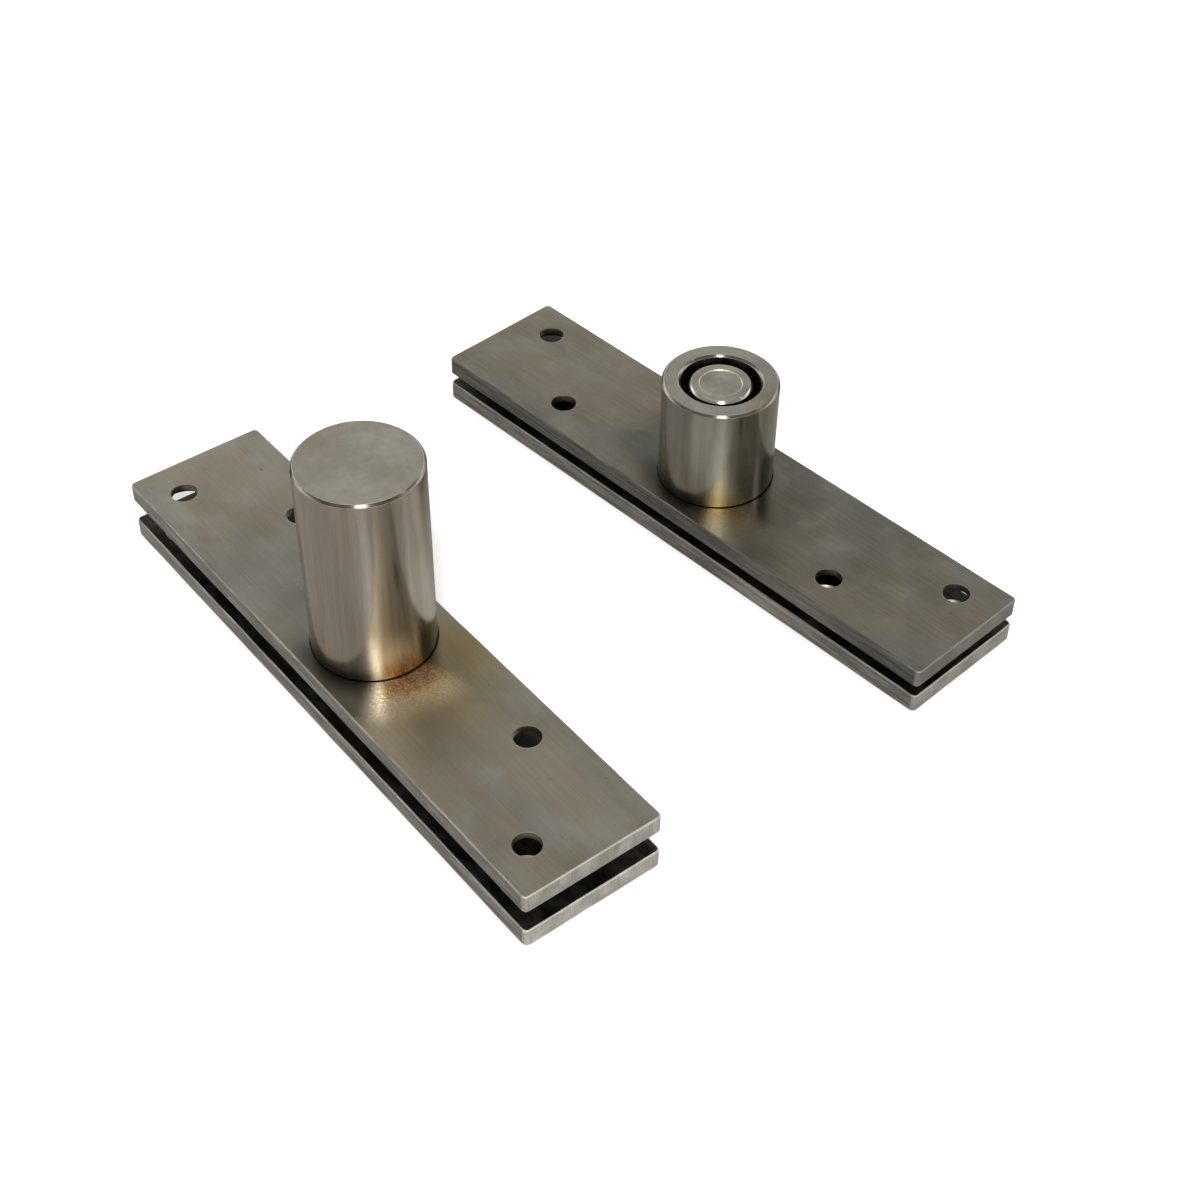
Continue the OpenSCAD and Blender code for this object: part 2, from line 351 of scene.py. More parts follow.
def brushed_plate(name, unit, heat, light, dark, foot_line):
    """Outer face of a plate: brushed lengthwise, with stains, and heat tint round the barrel."""
    s = Shader(name, anisotropic=0.2)
    grain = s.noise(s.scaled((90, 5200, 5200)), 1.0, detail=3.0, roughness=0.6)
    clouds = s.noise(s.scaled((1, 1.5, 1)), 38.0, detail=2.0, roughness=0.5, distortion=0.3)
    stains = s.noise(s.place, 170.0, detail=5.0, roughness=0.6, distortion=0.4)
    specks = s.noise(s.place, 1100.0, detail=2.0, roughness=0.5)
    warmth = s.noise(s.scaled((1, 1.3, 1)), 45.0, detail=3.0, roughness=0.55, distortion=0.4)
    colour = s.mix(s.remap(clouds, 0.3, 0.7), dark, light)
    colour = s.mix(s.remap(warmth, 0.4, 0.62, 0.0, 0.85), colour, BROWN_HAZE, blend="MULTIPLY")
    colour = s.mix(s.remap(stains, 0.5, 0.75, 0.0, 0.35), colour, STAIN_BROWN)
    colour = s.mix(s.remap(grain, 0.35, 0.7, 0.0, 0.12), colour, BARE_STEEL)
    colour = s.mix(s.remap(specks, 0.7, 0.78, 0.0, 0.4), colour, SPECK_DARK)
    matt = s.remap(s.radius(), *scuffing, 0.0, 0.12)
    if heat:
        colour, matt = heat_marks(s, unit, heat, colour, matt)
    # leaves get soot with painted contact shade and a painted shadow line round the barrel's foot
    if foot_line:
        colour = foot_soot_and_shade(s, unit, colour)
    wear = s.calc("ADD", s.calc("MULTIPLY", clouds, 0.6), s.calc("MULTIPLY", stains, 0.4))
    return s.finish(
        colour,
        wear,
        bump=[(clouds, 0.03 * MM), (grain, 0.0025 * MM)],
        roughness_range=(0.19, 0.28),
        matt=matt,
    )


def gap_face(name):
    """Inner faces of the plates, in the gap: painted near black for the shade between the plates.
    """
    s = Shader(name)
    smears = s.noise(s.scaled((1, 2, 1)), 160.0, detail=4.0, roughness=0.6, distortion=0.8)
    colour = s.mix(s.remap(smears, 0.3, 0.7), (0.025, 0.021, 0.018), (0.075, 0.066, 0.056))
    return s.finish(colour, smears, [(smears, 0.01 * MM)], roughness_range=(0.4, 0.6))


def sawn_end(name, tone):
    """Cut ends of a plate: matt, with fine marks through the thickness.

    tone is 1 on bright steel."""
    s = Shader(name)
    marks = s.noise(s.scaled((3000, 3000, 220)), 1.0, detail=3.0, roughness=0.6)
    patches = s.noise(s.place, 320.0, detail=3.0)
    dark, light = toned((0.78, 0.75, 0.69), tone), toned((0.95, 0.92, 0.87), tone)
    colour = s.mix(s.remap(patches, 0.3, 0.7), dark, light)
    colour = s.mix(s.remap(marks, 0.45, 0.75, 0.0, 0.35), colour, STAIN_BROWN)
    return s.finish(
        colour, patches, [(marks, 0.03 * MM), (patches, 0.05 * MM)], roughness_range=(0.45, 0.62)
    )


def mill_side(name, tone):
    """Long sides of a plate: rolled, a little darker and pitted.

    tone is 1 on bright steel."""
    s = Shader(name)
    streaks = s.noise(s.scaled((120, 900, 2400)), 1.0, detail=4.0, roughness=0.6)
    pits = s.noise(s.place, 1300.0, detail=3.0, roughness=0.6)
    dark, light = toned((0.36, 0.34, 0.31), tone), toned((0.66, 0.64, 0.6), tone)
    colour = s.mix(s.remap(streaks, 0.35, 0.65), dark, light)
    colour = s.mix(s.remap(pits, 0.58, 0.72, 0.0, 0.6), colour, PIT_BROWN)
    return s.finish(
        colour, streaks, [(streaks, 0.04 * MM), (pits, 0.02 * MM)], roughness_range=(0.36, 0.55)
    )


def wall_foot(s, unit, heat, foot, colour, haze):
    """Burn, soot with painted contact shade, and a painted shadow line in the crevice at the foot
    of a barrel's wall. foot is its height.
    """
    height = s.height()
    near = s.remap(height, foot + 5 * MM, foot)
    side = s.remap(s.facing(BURN_SIDE[unit] + 6), 0.9, 0.985)
    burn = s.calc("MULTIPLY", s.calc("MULTIPLY", near, side), s.remap(haze, 0.3, 0.6, 0.6, 1.0))
    colour = temper(s, colour, s.calc("MULTIPLY", burn, heat, clamp=True))
    # soot with painted contact shade, low on one side of the wall
    soot_and_shade = s.remap(height, foot + 3.5 * MM, foot)
    side = s.remap(s.facing(SOOT_AND_SHADE_SIDE[unit]), 0.5, 0.8)
    soot_and_shade = s.calc("MULTIPLY", s.calc("MULTIPLY", soot_and_shade, side), 0.75)
    # a painted shadow line in the crevice at the foot
    crevice_shade = s.remap(height, foot + 0.35 * MM, foot + 0.15 * MM)
    return s.mix(s.calc("MAXIMUM", soot_and_shade, crevice_shade), colour, SOOT_AND_CONTACT_SHADE)


def turned_steel(name, light, dark, grain=420.0, unit="bottom", heat=0.0, foot=0.0):
    """Barrels and pins: turning marks run round, and heat tint stands at the foot.

    grain is how many of the fine streaks along the axis there are to a metre."""
    s = Shader(name, anisotropic=0.5, turned=True)
    radius, height = s.radius(), s.height()
    ring = s.add("ShaderNodeCombineXYZ", {0: radius, 1: height}).outputs["Vector"]
    marks = s.noise(ring, 9000.0, detail=3.0, roughness=0.6)
    bands = s.noise(ring, 700.0, detail=2.0)
    streaks = s.noise(s.scaled((1, 1, 0.05)), grain, detail=5.0, roughness=0.65)
    fine = s.noise(s.scaled((1, 1, 0.02)), 4 * grain, detail=3.0, roughness=0.6)
    haze = s.noise(s.scaled((1, 1, 0.5)), 75.0, detail=3.0, roughness=0.55, distortion=0.3)
    colour = s.mix(s.remap(streaks, 0.3, 0.7), dark, light)
    colour = s.mix(s.remap(haze, 0.42, 0.68, 0.0, 0.5), colour, WARM_HAZE, blend="MULTIPLY")
    colour = s.mix(s.remap(fine, 0.45, 0.75, 0.0, 0.2), colour, STAIN_BROWN)
    colour = s.mix(s.remap(marks, 0.4, 0.7, 0.0, 0.12), colour, BARE_STEEL)
    if foot:
        colour = wall_foot(s, unit, heat, foot, colour, haze)
    wear = s.calc("ADD", s.calc("MULTIPLY", streaks, 0.6), s.calc("MULTIPLY", bands, 0.4))
    return s.finish(
        colour,
        wear,
        bump=[(marks, 0.002 * MM), (bands, 0.003 * MM), (streaks, 0.004 * MM)],
        roughness_range=(0.13, 0.22),
    )


def dark_bore(name):
    """Inside of a barrel: painted near black, as the shade deep in the bore."""
    s = Shader(name)
    smears = s.noise(s.place, 300.0, detail=4.0, roughness=0.6, distortion=1.0)
    colour = s.mix(s.remap(smears, 0.3, 0.7), (0.035, 0.032, 0.03), (0.09, 0.085, 0.08))
    return s.finish(colour, smears, [(smears, 0.01 * MM)], roughness_range=(0.35, 0.6))


def plain_metal(name, light, dark, roughness_range, scale=500.0, depth=0.004):
    """A small inner part's metal, with faint clouds and marks."""
    s = Shader(name)
    clouds = s.noise(s.place, scale, detail=4.0, roughness=0.6, distortion=0.6)
    marks = s.noise(s.scaled((1, 1, 6)), 4 * scale, detail=2.0)
    colour = s.mix(s.remap(clouds, 0.3, 0.7), dark, light)
    return s.finish(colour, clouds, [(marks, depth * MM)], roughness_range=roughness_range)


def weld_metal(name):
    """Weld bead with brown and blue tint."""
    s = Shader(name)
    clouds = s.noise(s.place, 600.0, detail=4.0, roughness=0.6, distortion=1.0)
    tint = s.ramp(
        s.remap(clouds, 0.3, 0.7),
        [(0.0, (0.5, 0.42, 0.3)), (0.5, (0.36, 0.25, 0.18)), (1.0, (0.22, 0.24, 0.33))],
    )
    return s.finish(tint, clouds, [(clouds, 0.03 * MM)], roughness_range=(0.3, 0.5))


# ---------------------------------------------------------------- mesh building


def arc_corner(before, corner, after, radius, steps):
    """Points of the arc that rounds a corner of a profile."""
    a, b = (before - corner).normalized(), (after - corner).normalized()
    half = a.angle(b) / 2
    cut = radius / math.tan(half)
    centre = corner + (a + b).normalized() * (radius / math.sin(half))
    start, end = corner + a * cut - centre, corner + b * cut - centre
    sweep = start.angle_signed(end)
    return [centre + Matrix.Rotation(-sweep * i / steps, 2) @ start for i in range(steps + 1)]


def rounded(profile, steps=3):
    """A closed profile of (radius, height, corner radius), with its corners rounded."""
    points = []
    for i, (r, z, soft) in enumerate(profile):
        corner = Vector((r, z))
        if soft == 0:
            points.append(corner)
            continue
        before = Vector(profile[i - 1][:2])
        after = Vector(profile[(i + 1) % len(profile)][:2])
        points += arc_corner(before, corner, after, soft, steps)
    return points


def to_object(bm, name, materials, sharp_angle=32):
    """Makes the finished mesh object: outward normals, and creases only at sharp edges."""
    bmesh.ops.remove_doubles(bm, verts=bm.verts, dist=1e-7)
    bmesh.ops.recalc_face_normals(bm, faces=bm.faces)
    for face in bm.faces:
        face.smooth = True
    for edge in bm.edges:
        if len(edge.link_faces) == 2:
            edge.smooth = edge.calc_face_angle() < math.radians(sharp_angle)
    mesh = bpy.data.meshes.new(name)
    bm.to_mesh(mesh)
    bm.free()
    for material in materials:
        mesh.materials.append(material)
    obj = bpy.data.objects.new(name, mesh)
    bpy.context.scene.collection.objects.link(obj)
    even = obj.modifiers.new("even_normals", "WEIGHTED_NORMAL")
    even.keep_sharp = True
    return obj


def ring_of(bm, points):
    return [bm.verts.new(p) for p in points]


def join_rings(bm, first, second):
    """Faces between two rings. A ring of one vertex is a point on the axis."""
    count = max(len(first), len(second))
    for i in range(count):
        j = (i + 1) % count
        if len(first) == 1 and len(second) == 1:
            return
        if len(first) == 1:
            bm.faces.new((first[0], second[j], second[i]))
        elif len(second) == 1:
            bm.faces.new((first[i], first[j], second[0]))
        else:
            bm.faces.new((first[i], first[j], second[j], second[i]))


def circle(radius, z, segments, centre=(0.0, 0.0), inward=None):
    """Points round a circle. inward(angle) is how far a point draws back to the axis."""
    x, y = centre
    points = []
    for i in range(segments):
        a = 2 * math.pi * i / segments
        r = radius - (inward(a) if inward else 0.0)
        points.append((x + r * math.cos(a), y + r * math.sin(a), z))
    return points


def lathe(name, profile, materials, slot_at=None, segments=144, ripple=None):
    """A turned piece. slot_at(radius, height) gives the place of a face's material in the list."""
    bm = bmesh.new()
    rings = []
    for p in rounded(profile):
        if p.x < 1e-9:
            rings.append(ring_of(bm, [(0, 0, p.y)]))
            continue
        inward = (lambda a, p=p: ripple(a, p)) if ripple else None
        rings.append(ring_of(bm, circle(p.x, p.y, segments, inward=inward)))
    for i, ring in enumerate(rings):
        join_rings(bm, ring, rings[(i + 1) % len(rings)])
    if slot_at:
        for face in bm.faces:
            c = face.calc_center_median()
            face.material_index = slot_at(Vector((c.x, c.y)).length, c.z)
    return to_object(bm, name, materials)


def outline(inset, z, seed):
    """Points round a plate, with inset from its edge, a little uneven along its sides."""
    wobble = random.Random(seed)
    phases = [wobble.uniform(0, 2 * math.pi) for _ in range(3)]

    def uneven(s):
        waves = sum(math.sin(s / length + p) for length, p in zip((9e-3, 4e-3, 2.2e-3), phases))
        return 0.012 * MM * (3 + waves)

    half_x, half_y = plate_len / 2 - corner_r, plate_w / 2 - corner_r
    points = []
    corner_steps = 7
    for quarter, (sx, sy) in enumerate(((1, 1), (-1, 1), (-1, -1), (1, -1))):
        centre = Vector((sx * half_x, sy * half_y))
        for i in range(corner_steps + 1):
            a = math.pi / 2 * (quarter + i / corner_steps)
            way = Vector((math.cos(a), math.sin(a)))
            points.append((centre + way * (corner_r - inset), way))
        side = 2 * (half_x if quarter in (0, 2) else half_y)
        along = Vector((-way.y, way.x))
        count = round(side / (4 * MM))
        base = centre + way * (corner_r - inset)
        points += [(base + along * (side * i / count), way) for i in range(1, count)]
    flat = [point - way * uneven(point.x + 2.3 * point.y) for point, way in points]
    return [(p.x, p.y, z) for p in flat]


# Places of a plate's materials in its list
OUTER_FACE, END, LONG_SIDE, GAP_FACE = range(4)


def plate_edge(bm, bottom_z, edge_r, seed):
    """The edge of a plate, rounded to both faces. Returns its lowest and highest ring."""
    steps = 4
    turns = [math.pi / 2 * i / steps for i in range(steps + 1)]
    rings = []
    for a in turns:
        inset, rise = edge_r * (1 - math.sin(a)), edge_r * (1 - math.cos(a))
        rings.append(ring_of(bm, outline(inset, bottom_z + rise, seed)))
    for a in turns:
        inset, rise = edge_r * (1 - math.cos(a)), edge_r * (1 - math.sin(a))
        rings.append(ring_of(bm, outline(inset, bottom_z + plate_t - rise, seed)))
    for first, second in zip(rings, rings[1:]):
        join_rings(bm, first, second)
    for face in bm.faces:
        middle = face.calc_center_median()
        side = abs(middle.y) > plate_w / 2 - corner_r
        end = abs(middle.x) > plate_len / 2 - corner_r
        inner = side and abs(middle.x) < plate_len / 2 - 1 * MM
        face.material_index = END if end and not inner else LONG_SIDE
    return [rings[0], rings[-1]]


def plate_hole(bm, bottom_z, x, y, profile, gap_side):
    """The wall of a hole through a plate. Returns its highest and lowest ring."""
    segments = 96 if x == 0 else 48
    walls = [ring_of(bm, circle(r, bottom_z + z, segments, (x, y))) for r, z in profile]
    first_new = len(bm.faces)
    for first, second in zip(walls, walls[1:]):
        join_rings(bm, first, second)
    bm.faces.ensure_lookup_table()
    bm.normal_update()
    for face in bm.faces[first_new:]:
        in_gap = gap_side < 0 and face.normal.z <= -0.3
        face.material_index = GAP_FACE if in_gap else OUTER_FACE
    return [walls[0], walls[-1]]


def plate_face(bm, z, rims, material_index):
    """Fills a plate's face at this height between its edge and its holes."""
    edges = []
    for ring in rims:
        if abs(ring[0].co.z - z) < 1e-7:
            for a, b in zip(ring, ring[1:] + ring[:1]):
                edges.append(bm.edges.get((a, b)) or bm.edges.new((a, b)))
    filled = bmesh.ops.triangle_fill(bm, use_beauty=True, edges=edges)
    for item in filled["geom"]:
        if isinstance(item, bmesh.types.BMFace):
            item.material_index = material_index


def plate(name, bottom_z, openings, materials, edge_r, gap_side, seed):
    """A plate with rounded edges. openings is a list of (x, y, profile), from the top face down.

    materials are those of the outer face, the ends, the long sides and the face in the gap,
    which is the upper one where gap_side is 1 and the lower one where it is -1."""
    bm = bmesh.new()
    rims = plate_edge(bm, bottom_z, edge_r, seed)
    for x, y, profile in openings:
        rims += plate_hole(bm, bottom_z, x, y, profile, gap_side)
    lower, upper = (OUTER_FACE, GAP_FACE) if gap_side > 0 else (GAP_FACE, OUTER_FACE)
    plate_face(bm, bottom_z, rims, lower)
    plate_face(bm, bottom_z + plate_t, rims, upper)
    return to_object(bm, name, materials)


def install(obj, node, unit):
    """Puts a piece made about its unit's own axis in the place of a CAD node."""
    obj.matrix_world = place[unit]
    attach(obj, body_of[node])
    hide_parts(node)
    return obj


# ---------------------------------------------------------------- hole profiles, top face down

edge_break = 0.25 * MM
countersink_depth = countersink_r - hole_r

plain_rim_up = [(hole_r + edge_break, plate_t), (hole_r + 0.07 * MM, plate_t - 0.07 * MM)]
plain_rim_up += [(hole_r, plate_t - edge_break)]
leaf_hole = plain_rim_up + [
    (hole_r, countersink_depth),
    (countersink_r - 0.06 * MM, 0.06 * MM),
    (countersink_r + 0.05 * MM, 0),
]
base_hole = [
    (countersink_r + 0.05 * MM, plate_t),
    (countersink_r - 0.06 * MM, plate_t - 0.06 * MM),
    (hole_r, plate_t - countersink_depth),
    (hole_r, edge_break),
    (hole_r + edge_break, 0),
]
barrel_hole = [
    (barrel_r + 0.05 * MM, plate_t),
    (barrel_r, plate_t - 0.05 * MM),
    (barrel_r, plate_t - seat_depth),
    (spigot_r, plate_t - seat_depth),
    (spigot_r, weld_leg),
    (weld_r, 0),
]
rivet_r, rivet_depth = pin_r, pin_r - pin_foot_r
pin_hole = [(pin_foot_r, plate_t), (pin_foot_r, rivet_depth), (rivet_r, 0)]

# ---------------------------------------------------------------- the pieces

# Tones of each plate's cut ends and rolled sides
side_tones = {
    "bottom_base": (1.0, 0.85),
    "bottom_leaf": (0.84, 0.8),
    "top_base": (0.7, 0.7),
    "top_leaf": (0.42, 0.4),
}
side_looks = {
    part + "_plate": (
        sawn_end(part + "_sawn_steel", end_tone),
        mill_side(part + "_rolled_steel", side_tone),
    )
    for part, (end_tone, side_tone) in side_tones.items()
}
# Bores, and the pin's side down in its barrel, are painted near black as shade
bore = dark_bore("bore_painted_shade")

# The faces in the gap, and the countersinks that open into it, are painted near black as shade
gap_steel_painted_shade = gap_face("gap_steel_painted_shade")
plate_edge_r = 0.3 * MM
# Heat tint, light colour and dark colour of each plate's outer face
plate_looks = {
    "bottom_leaf_plate": (1.0, (0.39, 0.383, 0.342), (0.29, 0.283, 0.25)),
    "bottom_base_plate": (0.0, (0.42, 0.41, 0.365), (0.36, 0.35, 0.305)),
    "top_leaf_plate": (0.35, (0.275, 0.27, 0.24), (0.205, 0.2, 0.175)),
    "top_base_plate": (0.0, (0.35, 0.342, 0.302), (0.31, 0.302, 0.262)),
}
for seed, (node, (heat, light, dark)) in enumerate(plate_looks.items()):
    unit, kind = node.split("_")[:2]
    face_steel = brushed_plate(node + "_steel", unit, heat, light, dark, kind == "leaf")
    screw = leaf_hole if kind == "leaf" else base_hole
    centre = barrel_hole if kind == "leaf" else pin_hole
    openings = [(x, y, screw) for x, y in screw_holes] + [(0, 0, centre)]
    piece = plate(
        node + "_brushed",
        low(node).z,
        openings,
        [face_steel, *side_looks[node], gap_steel_painted_shade],
        plate_edge_r,
        -1 if kind == "leaf" else 1,
        seed,
    )
    install(piece, node, unit)


def barrel_profile(unit, bore_floor, top_profile):
    """Half section of a barrel, from its bore round its spigot and wall to its upper end."""
    leaf = unit + "_leaf_plate"
    leaf_z, plate_top = low(leaf).z, high(leaf).z
    seat = plate_top - seat_depth
    return [
        (cup_r, leaf_z, 0.1 * MM),
        (spigot_r, leaf_z, 0.1 * MM),
        (spigot_r, seat, 0),
        (barrel_r - foot_chamfer, seat, 0),
        (barrel_r, seat + foot_chamfer, 0.1 * MM),
        *top_profile,
        (cup_r, bore_floor, 0),
    ]


soft = 0.12 * MM
barrel_looks = {
    "bottom": turned_steel(
        "bottom_barrel_steel",
        (0.585, 0.53, 0.45),
        (0.43, 0.39, 0.33),
        unit="bottom",
        heat=0.75,
        foot=high("bottom_leaf_plate").z,
    ),
    "top": turned_steel(
        "top_barrel_steel",
        (0.38, 0.37, 0.325),
        (0.28, 0.27, 0.235),
        unit="top",
        heat=0.25,
        foot=high("top_leaf_plate").z,
    ),
}
end_look = turned_steel("faced_end_steel", (0.64, 0.625, 0.545), (0.56, 0.545, 0.47), 130.0)

# Rim chamfers are painted dark, for the dark reflections along their sides; the lamp still glints
# on them
rim_look = turned_steel("rim_steel_painted_dark_reflection", (0.27, 0.245, 0.205), (0.17, 0.155, 0.13), 300.0)


def barrel_slots(top_z, bore_r, bore_z):
    """Places of a barrel's wall, bore, end face and rim in its list of materials."""

    def slot_at(r, z):
        if r < bore_r + 0.01 * MM and z < bore_z:
            return 1
        if z > top_z - 0.05 * MM:
            return 2
        return 3 if z > top_z - rim_chamfer + 0.02 * MM else 0

    return slot_at


# The tall barrel, closed at its upper end
top_z = high("bottom_barrel").z
bore_end = top_z - barrel_end_t
closed_top = [
    (barrel_r, top_z - rim_chamfer, soft),
    (barrel_r - rim_chamfer, top_z, soft),
    (0, top_z, 0),
    (0, bore_end, 0),
]
piece = lathe(
    "bottom_barrel_turned",
    barrel_profile("bottom", bore_end, closed_top),
    [barrel_looks["bottom"], bore, end_look, rim_look],
    barrel_slots(top_z, cup_r, bore_end + 0.01 * MM),
)
install(piece, "bottom_barrel", "bottom")

# The short barrel, open round the end of its pin
top_z = high("top_barrel").z
cup_top = high("top_needle_cup").z
open_top = [
    (barrel_r, top_z - rim_chamfer, soft),
    (barrel_r - rim_chamfer, top_z, soft),
    (mouth_r + rim_chamfer, top_z, soft),
    (mouth_r, top_z - rim_chamfer, soft),
    (mouth_r, cup_top, 0),
]
piece = lathe(
    "top_barrel_turned",
    barrel_profile("top", cup_top, open_top),
    [barrel_looks["top"], bore, end_look, rim_look],
    barrel_slots(top_z, mouth_r, top_z - 1.2 * MM),
)
install(piece, "top_barrel", "top")

pin_look = turned_steel("pin_steel_turned", (0.66, 0.645, 0.57), (0.58, 0.565, 0.5), 200.0)
for unit in ("bottom", "top"):
    node = unit + "_pin"
    end_z = high(node).z
    profile = [
        (0, 0, 0),
        (rivet_r, 0, 0.1 * MM),
        (pin_foot_r, rivet_depth, 0),
        (pin_foot_r, plate_t, 0),
        (pin_r, plate_t, 0),
        (pin_r, end_z - rim_chamfer, soft),
        (pin_r - rim_chamfer, end_z, soft),
        (end_recess_r, end_z, 0.08 * MM),
        (end_recess_r - 0.1 * MM, end_z - end_recess_depth, 0.08 * MM),
        (0, end_z - end_recess_depth, 0),
    ]
    # The pin's side down in the barrel takes the bore's painted shade
    piece = lathe(
        node + "_turned",
        profile,
        [pin_look, bore],
        lambda r, z: int(r > pin_r - 0.05 * MM and plate_t < z < end_z - 2 * MM),
        segments=96,
    )
    install(piece, node, unit)

bearing_look = plain_metal(
    "bearing_steel_polished", (0.68, 0.68, 0.67), (0.58, 0.58, 0.58), (0.08, 0.16)
)
brass_look = plain_metal("cage_brass_machined", (0.72, 0.53, 0.25), (0.58, 0.4, 0.18), (0.22, 0.4))
cage_look = plain_metal("cage_steel_pressed", (0.42, 0.41, 0.39), (0.3, 0.29, 0.28), (0.3, 0.45))
bronze_look = plain_metal("bronze_oiled", (0.6, 0.42, 0.24), (0.42, 0.28, 0.16), (0.28, 0.45))
weld_look = weld_metal("weld_tinted")

# Bearing washers with their ball grooves, and the spacer
ball_z = (low("thrust_balls").z + high("thrust_balls").z) / 2
ball_pitch_r = (pin_r + washer_r) / 2
groove_r = extent("thrust_balls").z / 2 + 0.1 * MM
turn_gap = 0.2 * MM


def washer_profile(node, inner_r, groove_side=0):
    """A flat ring. groove_side is 1 with the ball groove in its upper face, -1 in its lower."""
    bottom, top = low(node).z, high(node).z
    edge = 0.15 * MM
    profile = [
        (inner_r, bottom, edge),
        (washer_r, bottom, edge),
        (washer_r, top, edge),
        (inner_r, top, edge),
    ]
    if groove_side:
        face_z = top if groove_side > 0 else bottom
        half = math.acos(abs(ball_z - face_z) / groove_r)
        steps = 4
        groove = [
            (
                ball_pitch_r + groove_side * groove_r * math.sin(a),
                ball_z - groove_side * groove_r * math.cos(a),
                0,
            )
            for a in (half * i / steps for i in range(steps, -steps - 1, -1))
        ]
        start = 3 if groove_side > 0 else 1
        profile[start:start] = groove
    return profile


for node, finish, inner_r, groove_side, look in (
    ("thrust_lower_washer", "_ground", pin_r, 1, bearing_look),
    ("thrust_upper_washer", "_ground", pin_r + turn_gap, -1, bearing_look),
    ("top_spacer_washer", "_oiled", pin_r, 0, bronze_look),
):
    unit = "top" if node.startswith("top") else "bottom"
    profile = washer_profile(node, inner_r, groove_side)
    install(lathe(node + finish, profile, [look], segments=96), node, unit)

# Needle cups, drawn from sheet, with both lips turned in
for node in ("lower_needle_cup", "upper_needle_cup", "top_needle_cup"):
    bottom, top = low(node).z, high(node).z
    race = cup_r - cup_wall
    profile = [
        (cup_lip_r, bottom, 0.25 * MM),
        (cup_r, bottom, 0.5 * MM),
        (cup_r, top, 0.5 * MM),
        (cup_lip_r, top, 0.25 * MM),
        (cup_lip_r, top - cup_lip_t, 0.25 * MM),
        (race, top - cup_lip_t, 0.1 * MM),
        (race, bottom + cup_lip_t, 0.1 * MM),
        (cup_lip_r, bottom + cup_lip_t, 0.25 * MM),
    ]
    unit = "top" if node.startswith("top") else "bottom"
    install(lathe(node + "_drawn", profile, [bearing_look], segments=96), node, unit)

# Welds: a rippled bead in the groove under each leaf plate
bead_count = 34
bead_depth = 0.22 * MM


def bead(angle, point):
    """How far the bead's free corner draws back, in scales that lie on each other."""
    free = max(0.0, point.x - spigot_r) / weld_leg
    return free * bead_depth * abs(math.sin(bead_count * angle / 2))


for unit in ("bottom", "top"):
    node = unit + "_barrel_weld"
    z = low(node).z
    profile = [
        (spigot_r, z, 0),
        (weld_r - weld_leg / 2, z, 0),
        (weld_r, z, 0),
        (spigot_r, z + weld_leg, 0),
    ]
    install(lathe(node + "_bead", profile, [weld_look], segments=272, ripple=bead), node, unit)

# CAD nodes whose shape is right keep it, and take a finish
for node, look in {
    "thrust_ball_cage": brass_look,
    "thrust_balls": bearing_look,
    "lower_needle_cage": cage_look,
    "upper_needle_cage": cage_look,
    "top_needle_cage": cage_look,
    "lower_needles": bearing_look,
    "upper_needles": bearing_look,
    "top_needles": bearing_look,
}.items():
    frame["nodes"][node].data.materials[0] = look

# ---------------------------------------------------------------- floor, light and camera


def polar(azimuth, elevation, distance=1.0):
    a, e = math.radians(azimuth), math.radians(elevation)
    return Vector((math.cos(a) * math.cos(e), math.sin(a) * math.cos(e), math.sin(e))) * distance


middle = (cad_box[0] + cad_box[1]) / 2


def stage_object(name, profile, material, segments=96):
    """A wide open sheet turned about the set's middle."""
    bm = bmesh.new()
    rings = []
    for r, z in profile:
        centre = (middle.x, middle.y)
        rings.append(ring_of(bm, circle(r, z, segments if r else 1, centre)))
    for first, second in zip(rings, rings[1:]):
        join_rings(bm, first, second)
    bmesh.ops.reverse_faces(bm, faces=bm.faces)
    mesh = bpy.data.meshes.new(name)
    bm.to_mesh(mesh)
    bm.free()
    for polygon in mesh.polygons:
        polygon.use_smooth = True
    mesh.materials.append(material)
    obj = bpy.data.objects.new(name, mesh)
    bpy.context.scene.collection.objects.link(obj)
    return obj


CONTACT_DARK = (0.03, 0.028, 0.026)
contact_reach = 10 * MM
floor_glow = 0.12


def pale_floor():
    """Matt with a slight glow, and dark where a piece stands on the floor or close over it."""
    material = bpy.data.materials.new("pale_floor")
    material.use_nodes = True
    tree = material.node_tree
    tree.nodes.clear()
    open_side = add_node(tree, "ShaderNodeAmbientOcclusion", {"Distance": contact_reach})
    stops = [(0.0, CONTACT_DARK), (0.8, (1.0, 1.0, 1.0))]
    contact = colour_ramp(tree, open_side.outputs["AO"], stops)
    diffuse = add_node(tree, "ShaderNodeBsdfDiffuse", {"Color": contact})
    glow = add_node(tree, "ShaderNodeEmission", {"Color": contact, "Strength": floor_glow})
    both = add_node(tree, "ShaderNodeAddShader", {0: diffuse.outputs[0], 1: glow.outputs[0]})
    add_node(tree, "ShaderNodeOutputMaterial", {"Surface": both.outputs[0]})
    return material


# Pools of light on the table: place, and the radii where each starts to fade and ends
TABLE_POOLS = [
    ((20 * MM, 30 * MM, 0.0), 8 * MM, 34 * MM),
    ((31 * MM, 63 * MM, 0.0), 6 * MM, 20 * MM),
]
TABLE_LIGHT = (0.88, 0.85, 0.8)
TABLE_DARK = (0.46, 0.445, 0.415)


def grey_table():
    """Glossy grey, and lighter in the pools of light."""
    s = Shader("table_top", roughness=0.18, metallic=0.0)
    s.bsdf.inputs["Specular IOR Level"].default_value = 0.8
    nearest = 1.0
    for pool, inner_r, outer_r in TABLE_POOLS:
        away = s.add("ShaderNodeVectorMath", {0: s.place, 1: pool}, operation="DISTANCE")
        nearest = s.calc("MINIMUM", nearest, s.remap(away.outputs["Value"], inner_r, outer_r))
    return s.finish(s.ramp(nearest, [(0.0, TABLE_LIGHT), (1.0, TABLE_DARK)]))


